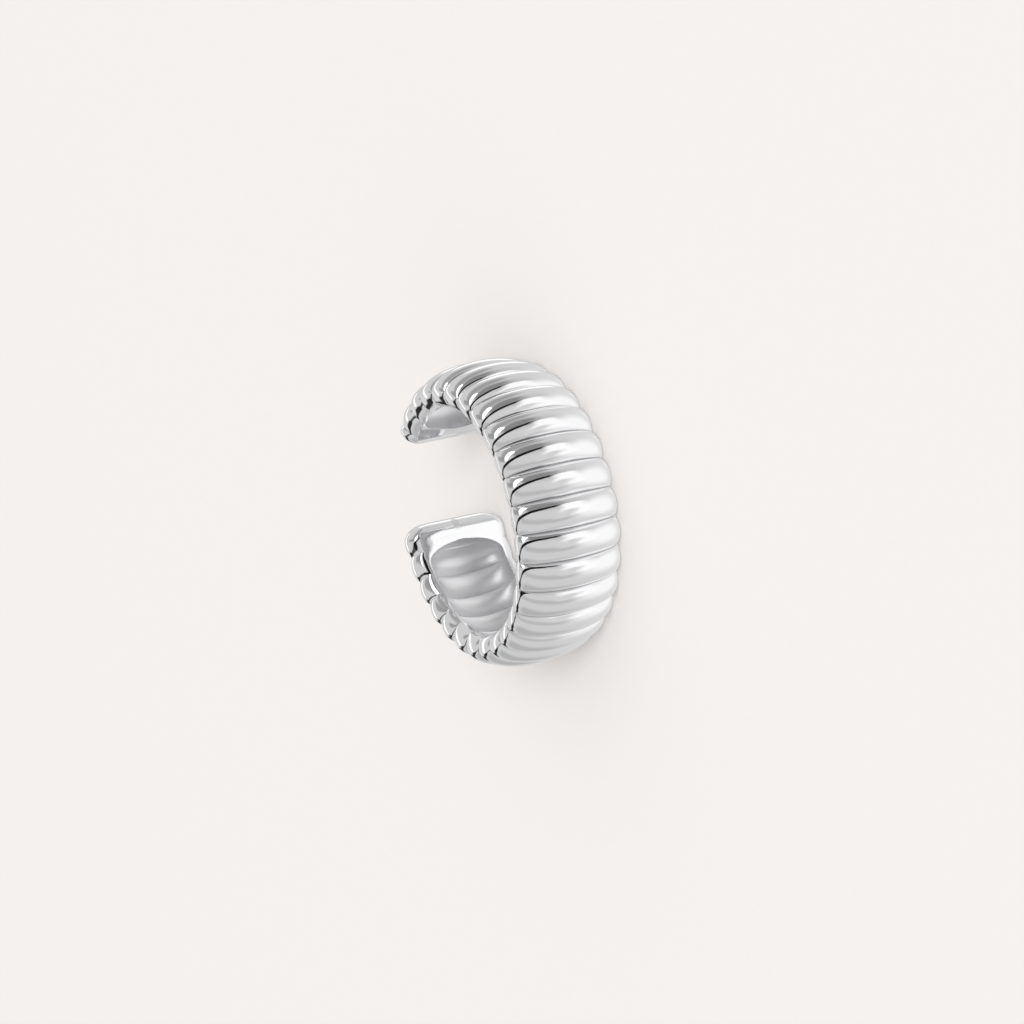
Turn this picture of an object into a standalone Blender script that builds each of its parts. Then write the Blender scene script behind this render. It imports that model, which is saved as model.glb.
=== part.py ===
"""Ear cuff: an open ring of cast silver with half-round ribs across a domed, hollow band.

The ring lies on its side: its axis is +Z, its gap opens towards +Y and the middle of
the band faces -Y. Units are metres. The model's origin is the middle of its underside.
"""
import math

import bmesh
import bpy

MM = 0.001

# Driving dimensions of the ring
BORE_RADIUS = 4.85 * MM
CREST_RADIUS = 6.50 * MM
BAND_WIDTH = 4.70 * MM
GAP_WIDTH = 3.45 * MM

# The band's section: where it is widest, and how it rounds in to the bore
WIDEST_ABOVE_BORE = 0.70 * MM
EDGE_INSET = 0.50 * MM

# Ribs and the grooves between them, measured square to the surface
RIB_COUNT = 24
RIB_PITCH = math.radians(12.29)
RIB_DRIFT = math.radians(2.1)
CREST_GROOVE_DEPTH = 0.38 * MM
SIDE_GROOVE_DEPTH = 0.13 * MM

# The plain border after the last groove, rounded over at the tip; the dome and the sides
# draw in by these shares of what the bore draws in
TIP_ROUNDING = 0.65 * MM
TIP_DOME_SHARE = 0.75
TIP_SIDE_SHARE = 1.6

# The hollow on the inside, with one shallow channel under each rib
GROOVE_WALL = 0.42 * MM
SIDE_WALL = 0.58 * MM
CHANNEL_DEPTH = 0.22 * MM
PAD_LENGTH = 0.95 * MM
OVAL_END_LENGTH = 0.80 * MM

# Form numbers: roundness of a rib and how its depth fades towards the sides
RIB_ARC_SHARE = 0.93
DEPTH_POWER = 0.7

# Facets
STEPS_PER_RIB = 6
BORDER_STEPS = 9
DOME_STEPS = 12
EDGE_STEPS = 3
FLOOR_STEPS = 7
NARROWEST_HOLLOW_SHARE = 0.10

SHARP_ANGLE = math.radians(38.0)
SILVER = (0.86, 0.86, 0.87, 1.0)

TIP_ANGLE = math.pi - math.asin(0.5 * GAP_WIDTH / BORE_RADIUS)
DOME_HEIGHT = CREST_RADIUS - BORE_RADIUS - WIDEST_ABOVE_BORE
HOLLOW_HALF_WIDTH = 0.5 * BAND_WIDTH - SIDE_WALL
HOLLOW_DEPTH = CREST_RADIUS - CREST_GROOVE_DEPTH - GROOVE_WALL - BORE_RADIUS
HOLLOW_END = TIP_ANGLE - PAD_LENGTH / BORE_RADIUS
OVAL_START = HOLLOW_END - OVAL_END_LENGTH / BORE_RADIUS


def clear_scene():
    """Remove whatever the file opened with."""
    for thing in list(bpy.data.objects):
        bpy.data.objects.remove(thing, do_unlink=True)


def silver_material():
    """Bright polished silver."""
    material = bpy.data.materials.new("silver")
    material.use_nodes = True
    shader = material.node_tree.nodes["Principled BSDF"]
    shader.inputs["Base Color"].default_value = SILVER
    shader.inputs["Metallic"].default_value = 1.0
    shader.inputs["Roughness"].default_value = 0.12
    material.diffuse_color = SILVER
    return material


def rib_height(phase):
    """Height of a half-round rib, 0 in the groove at phase 0 or 1 and 1 on its crest."""
    foot = math.sqrt(1.0 - RIB_ARC_SHARE ** 2)
    across = RIB_ARC_SHARE * (2.0 * phase - 1.0)
    return (math.sqrt(1.0 - across ** 2) - foot) / (1.0 - foot)


def groove_angle(number):
    """Angle of a groove, counted from the middle of the band; the ribs drift at both tips."""
    return number * RIB_PITCH + RIB_DRIFT * (2.0 * number / RIB_COUNT) ** 2


def tip_trim(angle):
    """How far the bore's surface is drawn in at this angle to round the tip over."""
    before_tip = (TIP_ANGLE - abs(angle)) * BORE_RADIUS
    into_round = max(1.0 - before_tip / TIP_ROUNDING, 0.0)
    return TIP_ROUNDING * (1.0 - math.sqrt(max(1.0 - into_round ** 2, 0.0)))


def dome_point(turn, height):
    """Radius and z on the domed outside, from turn 0 on top to pi on the underside."""
    across = math.cos(turn)
    out = max(math.sin(turn), 0.0)
    radius = BORE_RADIUS + WIDEST_ABOVE_BORE + DOME_HEIGHT * out
    z = 0.5 * BAND_WIDTH * across
    normal_z = across / (0.5 * BAND_WIDTH)
    normal_out = out / DOME_HEIGHT
    length = math.hypot(normal_z, normal_out)
    depth = SIDE_GROOVE_DEPTH + (CREST_GROOVE_DEPTH - SIDE_GROOVE_DEPTH) * out ** DEPTH_POWER
    sunk = depth * (1.0 - height) / length
    return radius - normal_out * sunk, z - normal_z * sunk


def edge_points(side, height):
    """Rounding from the bore's edge out to the widest point, on one side of the band."""
    top_radius, top_z = dome_point(0.0 if side > 0 else math.pi, height)
    edge_z = side * (0.5 * BAND_WIDTH - EDGE_INSET)
    points = []
    for step in range(EDGE_STEPS):
        turn = 0.5 * math.pi * step / EDGE_STEPS
        radius = top_radius + (BORE_RADIUS - top_radius) * math.cos(turn)
        points.append((radius, edge_z + (top_z - edge_z) * math.sin(turn)))
    return points


def outer_points(height):
    """Radius and z of the outside, from the upper edge of the bore to the lower one."""
    points = edge_points(1, height)
    for step in range(DOME_STEPS + 1):
        points.append(dome_point(math.pi * step / DOME_STEPS, height))
    points.extend(reversed(edge_points(-1, height)))
    return points


def hollow_points(angle, height):
    """Radius and z of the inside, from the hollow's lower edge to its upper one."""
    along = (abs(angle) - OVAL_START) / (HOLLOW_END - OVAL_START)
    round_end = math.sqrt(max(1.0 - max(along, 0.0) ** 2, 0.0))
    half_width = HOLLOW_HALF_WIDTH * max(round_end, NARROWEST_HOLLOW_SHARE)
    depth = (HOLLOW_DEPTH + CHANNEL_DEPTH * height) * round_end
    points = []
    for step in range(FLOOR_STEPS + 1):
        turn = math.pi * step / FLOOR_STEPS
        radius = BORE_RADIUS + depth * math.sin(turn)
        points.append((radius, -half_width * math.cos(turn)))
    return points


def place(angle, radius, z):
    """Point of the ring at an angle from -Y, positive towards +X."""
    return (radius * math.sin(angle), -radius * math.cos(angle), z)


def band_section(angle, height):
    """Closed loop of points round the band at one place, smaller near a rounded tip."""
    trim = tip_trim(angle)
    narrowed = 1.0 - 2.0 * TIP_SIDE_SHARE * trim / BAND_WIDTH
    thinned = 1.0 - (1.0 + TIP_DOME_SHARE) * trim / (CREST_RADIUS - BORE_RADIUS)
    loop = []
    for radius, z in outer_points(height) + hollow_points(angle, height):
        radius = BORE_RADIUS + trim + thinned * (radius - BORE_RADIUS)
        loop.append(place(angle, radius, narrowed * z))
    return loop


def border_sections(side):
    """Sections of the plain border at one tip, from its groove to the flat end face."""
    groove = abs(groove_angle(side * 0.5 * RIB_COUNT))
    sections = []
    for step in range(BORDER_STEPS + 1):
        share = 0.5 - 0.5 * math.cos(math.pi * step / BORDER_STEPS)
        past_groove = share * (TIP_ANGLE - groove)
        height = rib_height(min(past_groove / RIB_PITCH, 0.5))
        sections.append(band_section(side * (groove + past_groove), height))
    return sections


def rib_sections():
    """Sections of the ribs, from just after the first groove to just before the last."""
    sections = []
    for rib in range(RIB_COUNT):
        near = groove_angle(rib - 0.5 * RIB_COUNT)
        far = groove_angle(rib + 1 - 0.5 * RIB_COUNT)
        for step in range(STEPS_PER_RIB):
            phase = 0.5 - 0.5 * math.cos(math.pi * step / STEPS_PER_RIB)
            sections.append(band_section(near + phase * (far - near), rib_height(phase)))
    return sections[1:]


def rest_offset(loops):
    """Shift that puts the middle of the model's underside on the origin."""
    points = [point for loop in loops for point in loop]
    lows = [min(point[axis] for point in points) for axis in range(3)]
    highs = [max(point[axis] for point in points) for axis in range(3)]
    return (-0.5 * (lows[0] + highs[0]), -0.5 * (lows[1] + highs[1]), -lows[2])


def loft(loops):
    """Closed mesh through the loops, with a flat face on each end."""
    shift = rest_offset(loops)
    mesh = bmesh.new()
    rings = []
    for loop in loops:
        rings.append([mesh.verts.new([p + s for p, s in zip(point, shift)]) for point in loop])
    for near, far in zip(rings, rings[1:]):
        for index in range(len(near)):
            after = (index + 1) % len(near)
            mesh.faces.new((near[index], near[after], far[after], far[index]))
    mesh.faces.new(rings[0])
    mesh.faces.new(reversed(rings[-1]))
    bmesh.ops.recalc_face_normals(mesh, faces=mesh.faces)
    return mesh


def make_ear_cuff():
    """The whole cuff, one cast piece."""
    shape = loft(border_sections(-1)[::-1] + rib_sections() + border_sections(1))
    mesh = bpy.data.meshes.new("ear_cuff")
    shape.to_mesh(mesh)
    shape.free()
    mesh.shade_smooth()
    mesh.set_sharp_from_angle(angle=SHARP_ANGLE)
    mesh.materials.append(silver_material())
    cuff = bpy.data.objects.new("ear_cuff", mesh)
    bpy.context.scene.collection.objects.link(cuff)
    return cuff


clear_scene()
make_ear_cuff()
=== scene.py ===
# %% [markdown]
# # An ear cuff in polished silver
# The real object is a small open ring, 13 mm across, that slides over the edge of an ear.
# It is cast in silver in one piece: a domed band with half-round ribs across it, hollowed
# out on the inside so that it stays light.
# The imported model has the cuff's true shape in few facets. That is enough for physics, but
# a mirror shows every facet. So this lesson builds the same cuff again from the same sizes,
# with many more points, and then gives it its polish, its floor, its light and its camera.

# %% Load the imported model
import math

import bmesh
import bpy
from mathutils import Matrix, Vector


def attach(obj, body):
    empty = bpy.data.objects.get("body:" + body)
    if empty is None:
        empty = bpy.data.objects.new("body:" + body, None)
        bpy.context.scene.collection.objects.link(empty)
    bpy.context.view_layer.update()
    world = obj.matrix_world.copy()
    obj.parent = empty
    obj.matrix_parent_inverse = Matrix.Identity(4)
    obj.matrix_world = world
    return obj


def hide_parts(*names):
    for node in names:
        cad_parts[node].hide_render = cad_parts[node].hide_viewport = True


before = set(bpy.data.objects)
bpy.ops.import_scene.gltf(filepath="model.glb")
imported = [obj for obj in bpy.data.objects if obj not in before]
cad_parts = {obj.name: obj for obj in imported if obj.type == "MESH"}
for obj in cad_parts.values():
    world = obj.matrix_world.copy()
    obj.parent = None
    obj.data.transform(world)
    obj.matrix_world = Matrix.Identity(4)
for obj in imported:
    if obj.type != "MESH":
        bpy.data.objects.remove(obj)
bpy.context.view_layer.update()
scene = bpy.context.scene

# %% [markdown]
# ## The sizes of the cuff
# A jeweller would write these on the drawing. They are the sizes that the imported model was
# made from, so the fine cuff fills the same space. The width of the gap says where the two
# tips stand. Ribs that are carved by hand in wax drift a little round the ring, and these do:
# those near the tip at -X are slightly narrower than those near the tip at +X.

# %% Sizes of the ring, its ribs and its hollow
MM = 0.001
BORE_RADIUS = 4.85 * MM
CREST_RADIUS = 6.50 * MM
BAND_WIDTH = 4.70 * MM
GAP_WIDTH = 3.45 * MM
WIDEST_ABOVE_BORE = 0.70 * MM
EDGE_INSET = 0.50 * MM

RIB_COUNT = 24
RIB_PITCH = math.radians(12.29)
RIB_DRIFT = math.radians(2.1)
CREST_GROOVE_DEPTH = 0.38 * MM
SIDE_GROOVE_DEPTH = 0.13 * MM

TIP_ROUNDING = 0.65 * MM
TIP_DOME_SHARE = 0.75
TIP_SIDE_SHARE = 1.6

GROOVE_WALL = 0.42 * MM
SIDE_WALL = 0.58 * MM
CHANNEL_DEPTH = 0.22 * MM
PAD_LENGTH = 0.95 * MM
OVAL_END_LENGTH = 0.80 * MM

TIP_ANGLE = math.pi - math.asin(0.5 * GAP_WIDTH / BORE_RADIUS)
DOME_HEIGHT = CREST_RADIUS - BORE_RADIUS - WIDEST_ABOVE_BORE
HOLLOW_HALF_WIDTH = 0.5 * BAND_WIDTH - SIDE_WALL
HOLLOW_DEPTH = CREST_RADIUS - CREST_GROOVE_DEPTH - GROOVE_WALL - BORE_RADIUS
HOLLOW_END = TIP_ANGLE - PAD_LENGTH / BORE_RADIUS
OVAL_START = HOLLOW_END - OVAL_END_LENGTH / BORE_RADIUS
print("the tips stand", round(math.degrees(TIP_ANGLE), 2), "degrees from the middle")

# %% [markdown]
# ## One slice across the band
# A cast rib could be made as a bent cylinder and joined to the band, but then its ends would
# need cutting, and the joins would show in the mirror. Here the whole band is one loft: a
# closed line of points is drawn round the band's section, and the line changes from slice to
# slice as it climbs a rib and sinks into the next groove.

# %% The section of the band
RIB_ARC_SHARE = 0.93
DEPTH_POWER = 0.7
DOME_STEPS = 56
EDGE_STEPS = 12
FLOOR_STEPS = 36
NARROWEST_HOLLOW_SHARE = 0.10


def rib_height(phase):
    """0 in the groove at phase 0 or 1, and 1 on the crest of the half-round rib."""
    foot = math.sqrt(1.0 - RIB_ARC_SHARE ** 2)
    across = RIB_ARC_SHARE * (2.0 * phase - 1.0)
    return (math.sqrt(1.0 - across ** 2) - foot) / (1.0 - foot)


def dome_point(turn, height):
    """Radius and z on the domed outside, from turn 0 on top to pi on the underside."""
    across = math.cos(turn)
    out = max(math.sin(turn), 0.0)
    radius = BORE_RADIUS + WIDEST_ABOVE_BORE + DOME_HEIGHT * out
    z = 0.5 * BAND_WIDTH * across
    normal_z = across / (0.5 * BAND_WIDTH)
    normal_out = out / DOME_HEIGHT
    length = math.hypot(normal_z, normal_out)
    depth = SIDE_GROOVE_DEPTH + (CREST_GROOVE_DEPTH - SIDE_GROOVE_DEPTH) * out ** DEPTH_POWER
    sunk = depth * (1.0 - height) / length
    return radius - normal_out * sunk, z - normal_z * sunk


def edge_points(side, height):
    """Rounding from the bore's edge out to the widest point, on one side of the band."""
    top_radius, top_z = dome_point(0.0 if side > 0 else math.pi, height)
    edge_z = side * (0.5 * BAND_WIDTH - EDGE_INSET)
    points = []
    for step in range(EDGE_STEPS):
        turn = 0.5 * math.pi * step / EDGE_STEPS
        radius = top_radius + (BORE_RADIUS - top_radius) * math.cos(turn)
        points.append((radius, edge_z + (top_z - edge_z) * math.sin(turn)))
    return points


def outer_points(height):
    """Radius and z of the outside, from the upper edge of the bore to the lower one."""
    points = edge_points(1, height)
    for step in range(DOME_STEPS + 1):
        points.append(dome_point(math.pi * step / DOME_STEPS, height))
    points.extend(reversed(edge_points(-1, height)))
    return points


def hollow_points(angle, height):
    """Radius and z of the inside, from the hollow's lower edge to its upper one."""
    along = (abs(angle) - OVAL_START) / (HOLLOW_END - OVAL_START)
    round_end = math.sqrt(max(1.0 - max(along, 0.0) ** 2, 0.0))
    half_width = HOLLOW_HALF_WIDTH * max(round_end, NARROWEST_HOLLOW_SHARE)
    depth = (HOLLOW_DEPTH + CHANNEL_DEPTH * height) * round_end
    points = []
    for step in range(FLOOR_STEPS + 1):
        turn = math.pi * step / FLOOR_STEPS
        radius = BORE_RADIUS + depth * math.sin(turn)
        points.append((radius, -half_width * math.cos(turn)))
    return points


print("points in one slice:", len(outer_points(1.0) + hollow_points(0.0, 1.0)))

# %% [markdown]
# ## Round the ring
# The slices stand on the ring like pages of an open book, and closest in the grooves, where
# the surface turns most sharply. After the last groove comes a plain border at each tip. Its
# slices shrink over the last half millimetre, so the tip is rounded over to a small flat end,
# as a maker does so that it slides over the skin without scratching.

# %% Slices along the band
STEPS_PER_RIB = 18
BORDER_STEPS = 40


def groove_angle(number):
    """Angle of a groove, counted from the middle of the band; the ribs drift at both tips."""
    return number * RIB_PITCH + RIB_DRIFT * (2.0 * number / RIB_COUNT) ** 2


def tip_trim(angle):
    """How far the surface is drawn in at this angle to round the tip over."""
    before_tip = (TIP_ANGLE - abs(angle)) * BORE_RADIUS
    into_round = max(1.0 - before_tip / TIP_ROUNDING, 0.0)
    return TIP_ROUNDING * (1.0 - math.sqrt(max(1.0 - into_round ** 2, 0.0)))


def place(angle, radius, z):
    """Point of the ring at an angle from -Y, positive towards +X."""
    return Vector((radius * math.sin(angle), -radius * math.cos(angle), z))


def band_slice(angle, height):
    """Closed loop of points round the band at one place along it."""
    trim = tip_trim(angle)
    narrowed = 1.0 - 2.0 * TIP_SIDE_SHARE * trim / BAND_WIDTH
    thinned = 1.0 - (1.0 + TIP_DOME_SHARE) * trim / (CREST_RADIUS - BORE_RADIUS)
    loop = []
    for radius, z in outer_points(height) + hollow_points(angle, height):
        radius = BORE_RADIUS + trim + thinned * (radius - BORE_RADIUS)
        loop.append(place(angle, radius, narrowed * z))
    return loop


def border_slices(side):
    """Slices of the plain border at one tip, from its groove to the flat end face."""
    groove = abs(groove_angle(side * 0.5 * RIB_COUNT))
    loops = []
    for step in range(BORDER_STEPS + 1):
        past_groove = (0.5 - 0.5 * math.cos(math.pi * step / BORDER_STEPS)) * (TIP_ANGLE - groove)
        height = rib_height(min(past_groove / RIB_PITCH, 0.5))
        loops.append((height, band_slice(side * (groove + past_groove), height)))
    return loops


def rib_slices():
    """Slices of the ribs, from just after the first groove to just before the last."""
    loops = []
    for rib in range(RIB_COUNT):
        near = groove_angle(rib - 0.5 * RIB_COUNT)
        far = groove_angle(rib + 1 - 0.5 * RIB_COUNT)
        for step in range(STEPS_PER_RIB):
            phase = 0.5 - 0.5 * math.cos(math.pi * step / STEPS_PER_RIB)
            height = rib_height(phase)
            loops.append((height, band_slice(near + phase * (far - near), height)))
    return loops[1:]


slices = border_slices(-1)[::-1] + rib_slices() + border_slices(1)
print("slices:", len(slices))

# %% [markdown]
# ## From slices to a skin
# Neighbouring slices are joined by four-sided faces and the two tips are closed with one face
# each. Every point also remembers two things for the finish and for the painted shade: how far it
# lies inside the hollow, where the maker's polishing wheel doesn't reach, and how deep it lies in
# a crease between two ribs, where the wheel passes over.

# %% Join the slices
def rest_shift(loops):
    """Shift that puts the middle of the cuff's underside on the origin."""
    points = [point for height, loop in loops for point in loop]
    lows = [min(point[axis] for point in points) for axis in range(3)]
    highs = [max(point[axis] for point in points) for axis in range(3)]
    return Vector((-0.5 * (lows[0] + highs[0]), -0.5 * (lows[1] + highs[1]), -lows[2]))


RING_CENTRE = rest_shift(slices)
OUTSIDE_POINTS = len(outer_points(1.0))
SATIN_DEPTH = 0.08 * MM
CREASE_HEIGHT = 0.22
SHARP_ANGLE = math.radians(38.0)


def join_slices(loops):
    """Closed mesh through the slices, whose points know the hollow and the creases."""
    form = bmesh.new()
    hollow_layer = form.verts.layers.float.new("hollow")
    crease_layer = form.verts.layers.float.new("crease")
    rings = []
    for height, loop in loops:
        ring = [form.verts.new(point + RING_CENTRE) for point in loop]
        for vertex in ring[EDGE_STEPS:OUTSIDE_POINTS - EDGE_STEPS]:
            vertex[crease_layer] = max(1.0 - height / CREASE_HEIGHT, 0.0)
        for vertex in ring[OUTSIDE_POINTS + 1:-1]:
            depth = math.hypot(*(vertex.co - RING_CENTRE).xy) - BORE_RADIUS
            vertex[hollow_layer] = min(max(depth / SATIN_DEPTH, 0.0), 1.0)
        rings.append(ring)
    for near, far in zip(rings, rings[1:]):
        for index in range(len(near)):
            after = (index + 1) % len(near)
            form.faces.new((near[index], near[after], far[after], far[index]))
    form.faces.new(rings[0])
    form.faces.new(reversed(rings[-1]))
    bmesh.ops.recalc_face_normals(form, faces=form.faces)
    return form


def make_cuff():
    """The fine cuff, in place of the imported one."""
    form = join_slices(slices)
    mesh = bpy.data.meshes.new("silver_cuff")
    form.to_mesh(mesh)
    form.free()
    mesh.shade_smooth()
    mesh.set_sharp_from_angle(angle=SHARP_ANGLE)
    cuff = bpy.data.objects.new("silver_cuff", mesh)
    scene.collection.objects.link(cuff)
    return cuff


silver_cuff = make_cuff()
print("faces of the fine cuff:", len(silver_cuff.data.polygons))

# %% [markdown]
# ## Polished silver
# Silver has almost no colour of its own and gives back nine tenths of the light that falls
# on it, so its finish is mostly a matter of roughness. The polishing wheel leaves the ribs
# and rims bright, it misses the very bottom of the creases, and the hollow keeps the satin
# of the cast. First come the helpers that read what the points remember, draw soft random
# spots of a given size, and mix values.

# %% The silver's finish
silver = bpy.data.materials.new("polished_silver")
silver.use_nodes = True
silver_nodes = silver.node_tree.nodes
silver_links = silver.node_tree.links
silver_shader = silver_nodes["Principled BSDF"]
silver_shader.inputs["Metallic"].default_value = 1.0
on_cuff = silver_nodes.new("ShaderNodeTexCoord").outputs["Object"]


def stored(name):
    """Value that the points of the mesh remember."""
    node = silver_nodes.new("ShaderNodeAttribute")
    node.attribute_name = name
    return node.outputs["Fac"]


def blotches(size, detail):
    """Soft random pattern from 0 to 1 with spots of about this size."""
    node = silver_nodes.new("ShaderNodeTexNoise")
    node.inputs["Scale"].default_value = 1.0 / size
    node.inputs["Detail"].default_value = detail
    silver_links.new(on_cuff, node.inputs["Vector"])
    return node.outputs["Fac"]


def spread(value, low, high):
    """Stretch a value from the range 0 to 1 to the range from low to high."""
    node = silver_nodes.new("ShaderNodeMapRange")
    silver_links.new(value, node.inputs["Value"])
    node.inputs["To Min"].default_value = low
    node.inputs["To Max"].default_value = high
    return node.outputs["Result"]


def blend(share, first, second):
    """First value where the share is 0, second where it is 1."""
    node = silver_nodes.new("ShaderNodeMix")
    for socket, source in zip((0, 2, 3), (share, first, second)):
        if isinstance(source, float):
            node.inputs[socket].default_value = source
        else:
            silver_links.new(source, node.inputs[socket])
    return node.outputs[0]


# %% [markdown]
# ## How rough the silver is
# The wheel never polishes quite evenly, so the mirror of the ribs has slightly duller spots a
# third of a millimetre wide. The satin of the hollow is coarser and much rougher.

# %% Mirror, crease and satin
POLISH = (0.02, 0.06)
SATIN = (0.34, 0.46)
CREASE_ROUGHNESS = 0.20

polish = spread(blotches(0.35 * MM, 4.0), *POLISH)
satin = spread(blotches(0.12 * MM, 3.0), *SATIN)
dull_crease = blend(stored("crease"), polish, CREASE_ROUGHNESS)
roughness = blend(stored("hollow"), dull_crease, satin)
silver_links.new(roughness, silver_shader.inputs["Roughness"])
print("roughness on a rib", POLISH, "in a crease", CREASE_ROUGHNESS, "in the hollow", SATIN)

# %% [markdown]
# ## How pale the silver is
# Clean silver is a little cooler than grey. The creases are painted darker, as painted shade, and
# the hollow is painted darker as well, a painted shade for the light that its satin scatters from
# wall to wall and so gives back less of.

# %% Its colour, with painted shade in the creases and the hollow
CLEAN = (0.89, 0.93)
CREASE_PAINTED_SHADE = 0.62
HOLLOW_PAINTED_SHADE = 0.84
COOLNESS = 1.01

clean = spread(blotches(1.6 * MM, 3.0), *CLEAN)
# Painted shade: the creases are painted darker than the clean silver.
creased = blend(stored("crease"), clean, CREASE_PAINTED_SHADE)
# Painted shade: the hollow is painted darker than the ribs.
shade = blend(stored("hollow"), creased, HOLLOW_PAINTED_SHADE)
colour = silver_nodes.new("ShaderNodeCombineColor")
silver_links.new(shade, colour.inputs["Red"])
silver_links.new(shade, colour.inputs["Green"])
blue = silver_nodes.new("ShaderNodeMath")
blue.operation = "MULTIPLY"
silver_links.new(shade, blue.inputs[0])
blue.inputs[1].default_value = COOLNESS
silver_links.new(blue.outputs["Value"], colour.inputs["Blue"])
silver_links.new(colour.outputs["Color"], silver_shader.inputs["Base Color"])
print("shade on a rib", CLEAN, "in a crease", CREASE_PAINTED_SHADE, "in the hollow", HOLLOW_PAINTED_SHADE)

# %% [markdown]
# ## The swell of a cast
# A machined mirror looks dead. The ribs were filed by hand and buffed, which leaves a swell a
# millimetre long and a hundredth of a millimetre high, and a much finer grain on top of it.

# %% Swell and grain
SWELL_HEIGHT = 0.012 * MM
GRAIN_HEIGHT = 0.0006 * MM

swell = silver_nodes.new("ShaderNodeBump")
swell.inputs["Distance"].default_value = SWELL_HEIGHT
silver_links.new(blotches(1.3 * MM, 2.0), swell.inputs["Height"])
grain = silver_nodes.new("ShaderNodeBump")
grain.inputs["Distance"].default_value = GRAIN_HEIGHT
silver_links.new(blotches(0.10 * MM, 2.0), grain.inputs["Height"])
silver_links.new(swell.outputs["Normal"], grain.inputs["Normal"])
silver_links.new(grain.outputs["Normal"], silver_shader.inputs["Normal"])
print("silver nodes:", len(silver_nodes))

# %% [markdown]
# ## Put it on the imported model
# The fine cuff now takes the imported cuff's place, moves with it and counts as its silver.

# %% Finish the cuff
silver_cuff.data.materials.append(silver)
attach(silver_cuff, "root")
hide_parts("ear_cuff")
print("finished", silver_cuff.name, "in", silver.name)

# %% [markdown]
# ## The floor
# A sheet of warm white paper lies under the cuff, large enough to fill the picture behind it.
# Paper is matt, and its fibres give it a faint tone and tooth. The silver doesn't reflect the
# sheet: a card in the sky takes its place, so that its brightness can be set alone.

# %% Paper floor
PAPER_DARK = (0.895, 0.861, 0.838, 1.0)
PAPER_PALE = (0.905, 0.871, 0.847, 1.0)
PAPER_ROUGHNESS = (0.85, 0.95)
FIBRE_SIZE = 0.4 * MM
TOOTH_HEIGHT = 0.004 * MM
HALF_SHEET = 2.0


def warm_white_paper():
    """Matt paper with faint fibres."""
    material = bpy.data.materials.new("warm_white_paper")
    material.use_nodes = True
    nodes = material.node_tree.nodes
    links = material.node_tree.links
    shader = nodes["Principled BSDF"]
    shader.inputs["Specular IOR Level"].default_value = 0.2
    fibres = nodes.new("ShaderNodeTexNoise")
    fibres.inputs["Scale"].default_value = 1.0 / FIBRE_SIZE
    fibres.inputs["Detail"].default_value = 5.0
    links.new(nodes.new("ShaderNodeTexCoord").outputs["Object"], fibres.inputs["Vector"])
    tone = nodes.new("ShaderNodeMix")
    tone.data_type = "RGBA"
    tone.inputs[6].default_value = PAPER_DARK
    tone.inputs[7].default_value = PAPER_PALE
    links.new(fibres.outputs["Fac"], tone.inputs[0])
    links.new(tone.outputs[2], shader.inputs["Base Color"])
    matt = nodes.new("ShaderNodeMapRange")
    links.new(fibres.outputs["Fac"], matt.inputs["Value"])
    matt.inputs["To Min"].default_value = PAPER_ROUGHNESS[0]
    matt.inputs["To Max"].default_value = PAPER_ROUGHNESS[1]
    links.new(matt.outputs["Result"], shader.inputs["Roughness"])
    tooth = nodes.new("ShaderNodeBump")
    tooth.inputs["Distance"].default_value = TOOTH_HEIGHT
    links.new(fibres.outputs["Fac"], tooth.inputs["Height"])
    links.new(tooth.outputs["Normal"], shader.inputs["Normal"])
    return material


def paper_floor():
    """Large flat sheet under the cuff."""
    half = HALF_SHEET
    form = bmesh.new()
    corners = [(-half, -half, 0.0), (half, -half, 0.0), (half, half, 0.0), (-half, half, 0.0)]
    form.faces.new([form.verts.new(corner) for corner in corners])
    mesh = bpy.data.meshes.new("paper_floor")
    form.to_mesh(mesh)
    form.free()
    mesh.materials.append(warm_white_paper())
    sheet = bpy.data.objects.new("paper_floor", mesh)
    scene.collection.objects.link(sheet)
    return sheet


floor = paper_floor()
floor.visible_glossy = False
print("paper floor:", 2.0 * HALF_SHEET, "m wide")

# %% [markdown]
# ## What the silver sees
# A mirror has no look of its own: it shows the room. Lamps could be placed in the scene, but
# each one would also light the floor. Here the room is painted on the sky instead, as soft
# cards in the directions where a studio's lamps, flags and white walls would stand. Each
# card runs from one direction to another and fades out at its edge.

# %% Sky nodes
world = bpy.data.worlds.new("studio")
scene.world = world
world.use_nodes = True
sky_nodes = world.node_tree.nodes
sky_links = world.node_tree.links
looking = sky_nodes.new("ShaderNodeTexCoord").outputs["Generated"]


def sky_node(kind, **settings):
    """New node in the sky, with its settings."""
    node = sky_nodes.new(kind)
    for name, value in settings.items():
        setattr(node, name, value)
    return node


def direction(towards_x, towards_y):
    """Direction that leans so many degrees from straight up, towards +X and towards +Y."""
    lean = math.radians(math.hypot(towards_x, towards_y))
    heading = math.atan2(towards_y, towards_x)
    return Vector((math.sin(lean) * math.cos(heading), math.sin(lean) * math.sin(heading),
                   math.cos(lean)))


print("a lean of 90 degrees towards +X is", [round(value, 2) for value in direction(90, 0)])

# %% [markdown]
# ## One card
# A card is a soft grey stripe on the sky. For any direction, the nodes find the nearest place
# on the stripe's middle line and measure how far off it is, and the card covers what is
# closer than its half width. Every card lies over those before it.

# %% A card in the sky
def chord(degrees):
    """Straight distance between two directions this far apart."""
    return 2.0 * math.sin(math.radians(0.5 * degrees))


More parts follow.
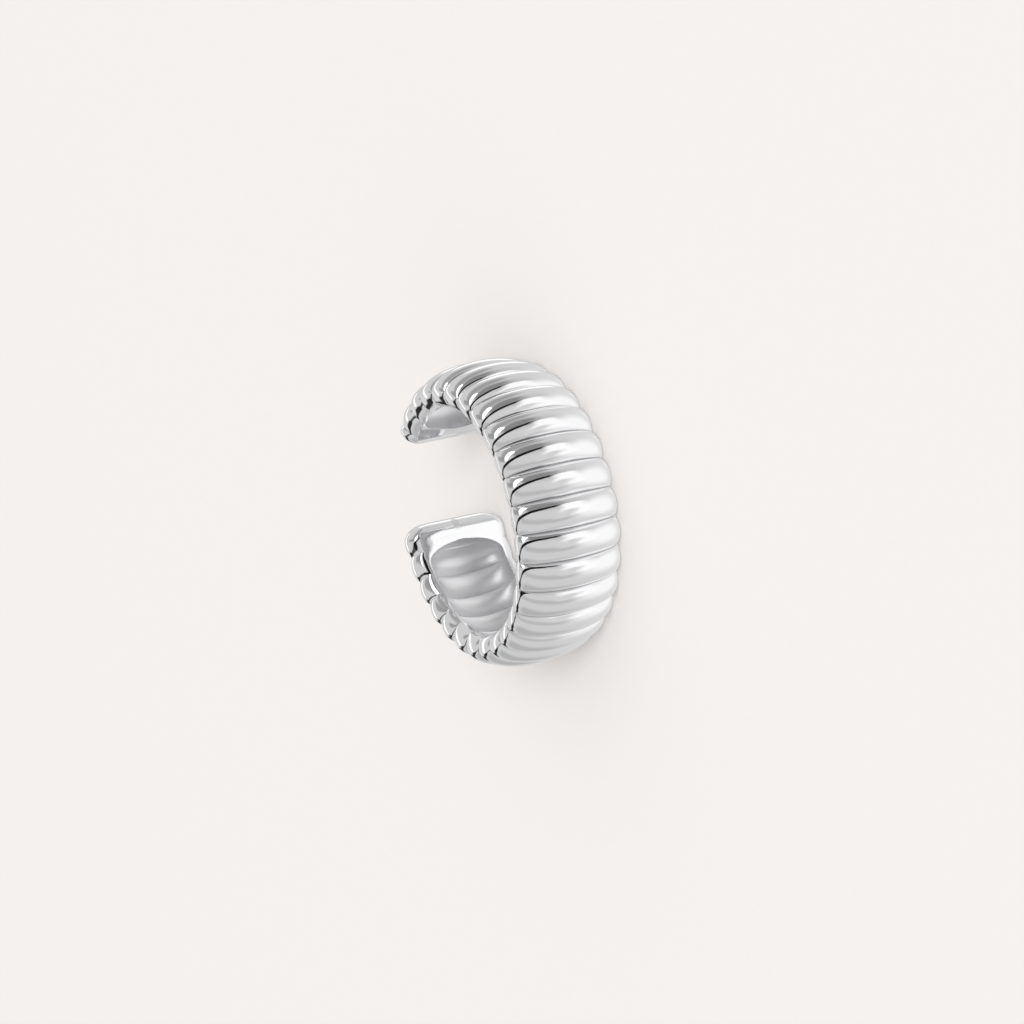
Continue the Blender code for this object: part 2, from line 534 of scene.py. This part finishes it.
def add_card(behind, start, end, half_width, fade, level, amount):
    """Lay one soft grey card over the sky behind it, and return the new sky."""
    start_way = direction(*start)
    along = direction(*end) - start_way
    offset = sky_node("ShaderNodeVectorMath", operation="SUBTRACT")
    sky_links.new(looking, offset.inputs[0])
    offset.inputs[1].default_value = start_way
    share = sky_node("ShaderNodeVectorMath", operation="DOT_PRODUCT")
    sky_links.new(offset.outputs["Vector"], share.inputs[0])
    share.inputs[1].default_value = along / along.length_squared
    nearest = sky_node("ShaderNodeMix", data_type="VECTOR", clamp_factor=True)
    sky_links.new(share.outputs["Value"], nearest.inputs[0])
    nearest.inputs[4].default_value = start_way
    nearest.inputs[5].default_value = start_way + along
    unit = sky_node("ShaderNodeVectorMath", operation="NORMALIZE")
    sky_links.new(nearest.outputs[1], unit.inputs[0])
    apart = sky_node("ShaderNodeVectorMath", operation="DISTANCE")
    sky_links.new(looking, apart.inputs[0])
    sky_links.new(unit.outputs["Vector"], apart.inputs[1])
    cover = sky_node("ShaderNodeMapRange", interpolation_type="SMOOTHSTEP")
    sky_links.new(apart.outputs["Value"], cover.inputs["Value"])
    cover.inputs["From Min"].default_value = chord(half_width)
    cover.inputs["From Max"].default_value = chord(half_width + fade)
    cover.inputs["To Min"].default_value = amount
    cover.inputs["To Max"].default_value = 0.0
    over = sky_node("ShaderNodeMix", data_type="FLOAT", clamp_factor=True)
    sky_links.new(cover.outputs["Result"], over.inputs[0])
    if isinstance(behind, float):
        over.inputs[2].default_value = behind
    else:
        sky_links.new(behind, over.inputs[2])
    over.inputs[3].default_value = level
    return over.outputs[0]


print("a card with a half width of 5 degrees reaches", round(chord(5.0), 3), "from its line")

# %% [markdown]
# ## All the cards
# The cards were placed by following the view from the camera to each rib and on to the part
# of the room that the rib shows. A pale table and grey walls give the soft tones, black flags
# give the thin dark lines beside the creases, and a lamp gives the white ovals at the ribs'
# ends. Each row holds where a card starts and ends, its half width and fade in degrees, its
# brightness, and how much it covers.

# %% The cards
PLAIN_SKY = 0.66
CARDS = (
    # the white table below, brightest on the left
    ((85, -166), (60, -145), 21, 55, 0.80, 1.0),
    ((-4, -149), (61, -130), 11, 34, 1.04, 0.97),
    # soft grey walls in front and on the left
    ((6, -34), (-28, -99), 4, 16, 0.46, 0.68),
    ((-66, -6), (-94, 9), 9, 23, 0.45, 0.84),
    # wide dark flags low on the right
    ((77, -24), (94, -12), 8.5, 14, 0.15, 0.9),
    ((98, -35), (80, -6), 12.5, 26, 0.35, 0.38),
    ((44, 10), (84, 47), 8, 13, 0.30, 0.8),
    # the white lamp, with a dark flag over it
    ((38, -8), (68, 2), 6, 4, 2.2, 1.0),
    ((17, 30), (30, 4), 6, 9, 0.28, 0.8),
    # the thin black edge of a flag overhead
    ((-60, 62), (-38, 30), 7, 4, 0.03, 1.0),
    ((-38, 30), (4, -8), 3.5, 3, 0.02, 0.9),
    ((4, -8), (24, -24), 5, 2, 0.01, 1.0),
    ((24, -24), (40, -33), 5.5, 1.5, 0.01, 1.0),
    ((40, -33), (78, -44), 5.5, 1.5, 0.01, 1.0),
    ((78, -44), (104, -44), 4, 3, 0.02, 1.0),
    # white reflectors behind the cuff and beside its tips
    ((-25, 47), (-8, 64), 3.5, 3, 1.3, 0.85),
    ((-8, 64), (12, 84), 3.5, 3, 1.2, 0.85),
    ((-40, 58), (-32, 105), 5.5, 6.5, 0.73, 1.0),
    ((-36, 106), (-36, 120), 7, 8, 0.48, 1.0),
    ((24, -120), (57, -102), 7, 11, 1.08, 1.0),
    ((57, -102), (100, -58), 5, 10, 1.08, 1.0),
    ((44, 151), (84, 124), 1, 3, 1.08, 0.64),
    ((45, 105), (46, 106), 9, 6, 1.15, 1.0),
    # a pale wall low on the left
    ((-4, -104), (44, -103), 2, 11, 0.70, 1.0),
)
sky = PLAIN_SKY
for card in CARDS:
    sky = add_card(sky, *card)
print("cards:", len(CARDS), "sky nodes:", len(sky_nodes))

# %% [markdown]
# ## Behind and above the floor
# The camera itself never sees the cards. Past the edge of the floor it sees a plain backdrop
# of the floor's own colour, so the cuff stands in front of clean paper from every side. The
# paper doesn't see the cards either: it has a soft light that is strongest from the camera's
# side, so the shade lies behind the cuff.

# %% Backdrop and soft light
BACKDROP = (0.913, 0.879, 0.855, 1.0)
BRIGHT_SIDE = Vector((0.52, -0.80, 0.30))
DIM_SIDE_LIGHT = 0.20
BRIGHT_SIDE_LIGHT = 1.16
room = sky_nodes["Background"]
sky_links.new(sky, room.inputs["Color"])
backdrop = sky_node("ShaderNodeBackground")
backdrop.inputs["Color"].default_value = BACKDROP
seen = sky_node("ShaderNodeLightPath")
choice = sky_node("ShaderNodeMixShader")
sky_links.new(seen.outputs["Is Camera Ray"], choice.inputs[0])
sky_links.new(room.outputs["Background"], choice.inputs[1])
sky_links.new(backdrop.outputs["Background"], choice.inputs[2])
facing = sky_node("ShaderNodeVectorMath", operation="DOT_PRODUCT")
sky_links.new(looking, facing.inputs[0])
facing.inputs[1].default_value = BRIGHT_SIDE.normalized()
side_light = sky_node("ShaderNodeMapRange")
sky_links.new(facing.outputs["Value"], side_light.inputs["Value"])
side_light.inputs["From Min"].default_value = -1.0
side_light.inputs["To Min"].default_value = DIM_SIDE_LIGHT
side_light.inputs["To Max"].default_value = BRIGHT_SIDE_LIGHT
ambient = sky_node("ShaderNodeBackground")
sky_links.new(side_light.outputs["Result"], ambient.inputs["Color"])
soft_light = sky_node("ShaderNodeMixShader")
sky_links.new(seen.outputs["Is Diffuse Ray"], soft_light.inputs[0])
sky_links.new(choice.outputs["Shader"], soft_light.inputs[1])
sky_links.new(ambient.outputs["Background"], soft_light.inputs[2])
sky_links.new(soft_light.outputs["Shader"], sky_nodes["World Output"].inputs["Surface"])
world.cycles.sampling_method = "NONE"
print("soft light from", DIM_SIDE_LIGHT, "to", BRIGHT_SIDE_LIGHT)

# %% [markdown]
# ## A soft shadow
# One very wide lamp throws the faint shadow on the paper. It lights the paper alone, because
# the silver already sees its lamp among the cards.

# %% Shadow lamp
SHADOW_AZIMUTH = math.radians(32.0)
SHADOW_ELEVATION = math.radians(38.0)
SHADOW_SOFTNESS = math.radians(30.0)
SHADOW_STRENGTH = 1.30

lamp_data = bpy.data.lights.new("shadow_lamp", "SUN")
lamp_data.energy = SHADOW_STRENGTH
lamp_data.angle = SHADOW_SOFTNESS
lamp = bpy.data.objects.new("shadow_lamp", lamp_data)
scene.collection.objects.link(lamp)
lamp.visible_glossy = False
towards_lamp = Vector((math.sin(SHADOW_AZIMUTH) * math.cos(SHADOW_ELEVATION),
                       -math.cos(SHADOW_AZIMUTH) * math.cos(SHADOW_ELEVATION),
                       math.sin(SHADOW_ELEVATION)))
lamp.rotation_euler = towards_lamp.to_track_quat("Z", "Y").to_euler()
print("shadow lamp shines from", [round(value, 2) for value in towards_lamp])

# %% [markdown]
# ## The camera
# The picture was taken with a long lens, so the cuff shows almost no perspective. The three
# angles were found by laying the cuff's outline over the picture.

# %% Camera at the picture's angle
CLIP_START = 1.0 * MM
CAMERA_AZIMUTH = math.radians(23.153)
CAMERA_ELEVATION = math.radians(25.753)
CAMERA_ROLL = math.radians(-101.981)
CAMERA_DISTANCE = 120.0 * MM
FOCAL_LENGTH = 100.27
AIM_RIGHT = 0.306 * MM
AIM_UP = 0.013 * MM

back = Vector((math.sin(CAMERA_AZIMUTH) * math.cos(CAMERA_ELEVATION),
               -math.cos(CAMERA_AZIMUTH) * math.cos(CAMERA_ELEVATION),
               math.sin(CAMERA_ELEVATION)))
level_right = Vector((math.cos(CAMERA_AZIMUTH), math.sin(CAMERA_AZIMUTH), 0.0))
level_up = back.cross(level_right)
right = level_right * math.cos(CAMERA_ROLL) + level_up * math.sin(CAMERA_ROLL)
up = back.cross(right)

camera_data = bpy.data.cameras.new("camera")
camera_data.lens = FOCAL_LENGTH
camera_data.clip_start = CLIP_START
camera = bpy.data.objects.new("camera", camera_data)
scene.collection.objects.link(camera)
turn = Matrix((right, up, back)).transposed().to_4x4()
aim = RING_CENTRE + right * AIM_RIGHT + up * AIM_UP
camera.matrix_world = Matrix.Translation(aim + back * CAMERA_DISTANCE) @ turn
scene.camera = camera
scene.view_settings.view_transform = "Standard"
print("camera at", [round(value, 4) for value in camera.location])
